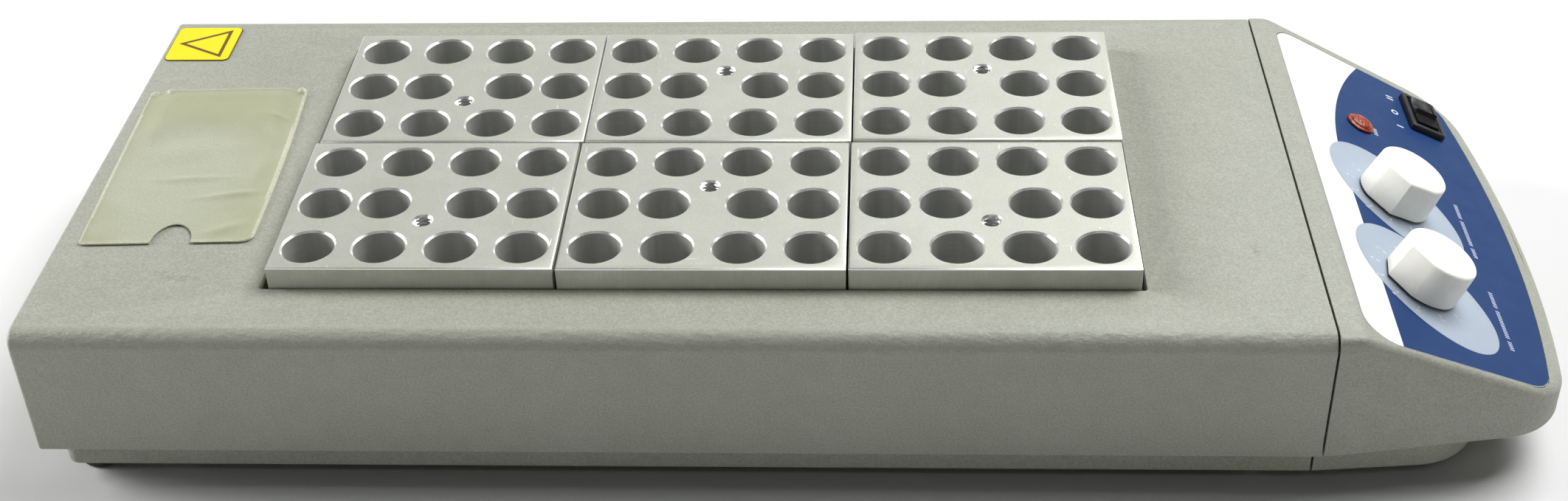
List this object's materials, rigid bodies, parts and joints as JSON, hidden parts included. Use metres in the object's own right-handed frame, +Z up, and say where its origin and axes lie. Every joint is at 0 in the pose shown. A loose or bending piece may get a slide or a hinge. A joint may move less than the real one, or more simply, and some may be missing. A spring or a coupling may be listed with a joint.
{
  "type": "dry block heater",
  "caption": "Long low laboratory dry block heater with lift-out drilled aluminium blocks in a well and a sloping control head with knobs, rocker switch and lamp.",
  "frame": {"origin": "centre of the footprint, on the surface the feet stand on", "axes": "+X along the length towards the control head, +Y to the back, +Z up"},
  "size_m": [0.516, 0.207, 0.073],
  "materials": {
    "housing": "textured grey powder coat",
    "pan": "textured grey powder coat, slightly darker",
    "block_aluminium": "bead-blasted aluminium",
    "plate_aluminium": "machined aluminium",
    "sheet_steel": "zinc-plated sheet",
    "silicone": "silicone heater mat",
    "fibre": "compressed fibre board",
    "overlay": "printed polycarbonate film, satin",
    "white_plastic": "moulded white plastic",
    "black_plastic": "moulded black plastic",
    "steel": "plated steel",
    "brass": "plated brass",
    "lens": "translucent orange-red",
    "board": "solder-masked laminate",
    "vinyl": "clear yellowed vinyl",
    "yellow_film": "printed yellow film",
    "rubber": "black rubber"
  },
  "bodies": {
    "heater_base": {"base_pan_head": "pan", "base_pan_main": "pan", "base_screw_1": "steel", "base_screw_2": "steel", "base_screw_3": "steel", "base_screw_4": "steel", "base_screw_5": "steel", "base_screw_6": "steel", "board_standoff_1": "brass", "board_standoff_2": "brass", "board_standoff_3": "brass", "board_standoff_4": "brass", "card_pocket": "vinyl", "caution_label": "yellow_film", "circuit_board": "board", "foot_1": "rubber", "foot_2": "rubber", "foot_3": "rubber", "foot_4": "rubber", "head_housing": "housing", "heater_pad_left": "silicone", "heater_pad_right": "silicone", "heater_plate": "plate_aluminium", "inlet_blade_earth": "steel", "inlet_blade_line": "steel", "inlet_blade_neutral": "steel", "insulation_board": "fibre", "lamp_body": "black_plastic", "lamp_lens": "lens", "panel_overlay": "overlay", "partition": "sheet_steel", "potentiometer_front": "brass", "potentiometer_rear": "brass", "power_inlet": "black_plastic", "relay": "black_plastic", "switch_body": "black_plastic", "temperature_sensor": "steel", "thermal_cutout": "black_plastic", "top_cover": "housing", "triac_heat_sink": "plate_aluminium", "well_liner": "sheet_steel"},
    "block_front_left_body": {"block_front_left": "block_aluminium"},
    "block_front_middle_body": {"block_front_middle": "block_aluminium"},
    "block_front_right_body": {"block_front_right": "block_aluminium"},
    "block_back_left_body": {"block_back_left": "block_aluminium"},
    "block_back_middle_body": {"block_back_middle": "block_aluminium"},
    "block_back_right_body": {"block_back_right": "block_aluminium"},
    "rear_knob_body": {"knob_rear": "white_plastic", "knob_shaft_rear": "steel"},
    "front_knob_body": {"knob_front": "white_plastic", "knob_shaft_front": "steel"},
    "rocker_body": {"switch_rocker": "black_plastic"}
  },
  "joints": [
    {"name": "block_front_left_lift", "type": "slide", "parent": "heater_base", "child": "block_front_left_body", "axis": [0, 0, 1], "range_m": [0, 0.06]},
    {"name": "block_front_middle_lift", "type": "slide", "parent": "heater_base", "child": "block_front_middle_body", "axis": [0, 0, 1], "range_m": [0, 0.06]},
    {"name": "block_front_right_lift", "type": "slide", "parent": "heater_base", "child": "block_front_right_body", "axis": [0, 0, 1], "range_m": [0, 0.06]},
    {"name": "block_back_left_lift", "type": "slide", "parent": "heater_base", "child": "block_back_left_body", "axis": [0, 0, 1], "range_m": [0, 0.06]},
    {"name": "block_back_middle_lift", "type": "slide", "parent": "heater_base", "child": "block_back_middle_body", "axis": [0, 0, 1], "range_m": [0, 0.06]},
    {"name": "block_back_right_lift", "type": "slide", "parent": "heater_base", "child": "block_back_right_body", "axis": [0, 0, 1], "range_m": [0, 0.06]},
    {"name": "rear_knob_turn", "type": "hinge", "parent": "heater_base", "child": "rear_knob_body", "pos_m": [0.20983, -0.004, 0.05801], "axis": [0.4305, 0, 0.9026], "range_deg": [-221, 79]},
    {"name": "front_knob_turn", "type": "hinge", "parent": "heater_base", "child": "front_knob_body", "pos_m": [0.20875, -0.055, 0.05853], "axis": [0.4305, 0, 0.9026], "range_deg": [-165, 135]},
    {"name": "rocker_tilt", "type": "hinge", "parent": "heater_base", "child": "rocker_body", "pos_m": [0.233, 0.0701, 0.03644], "axis": [0.9026, 0, -0.4305], "range_deg": [-10, 10]}
  ]
}
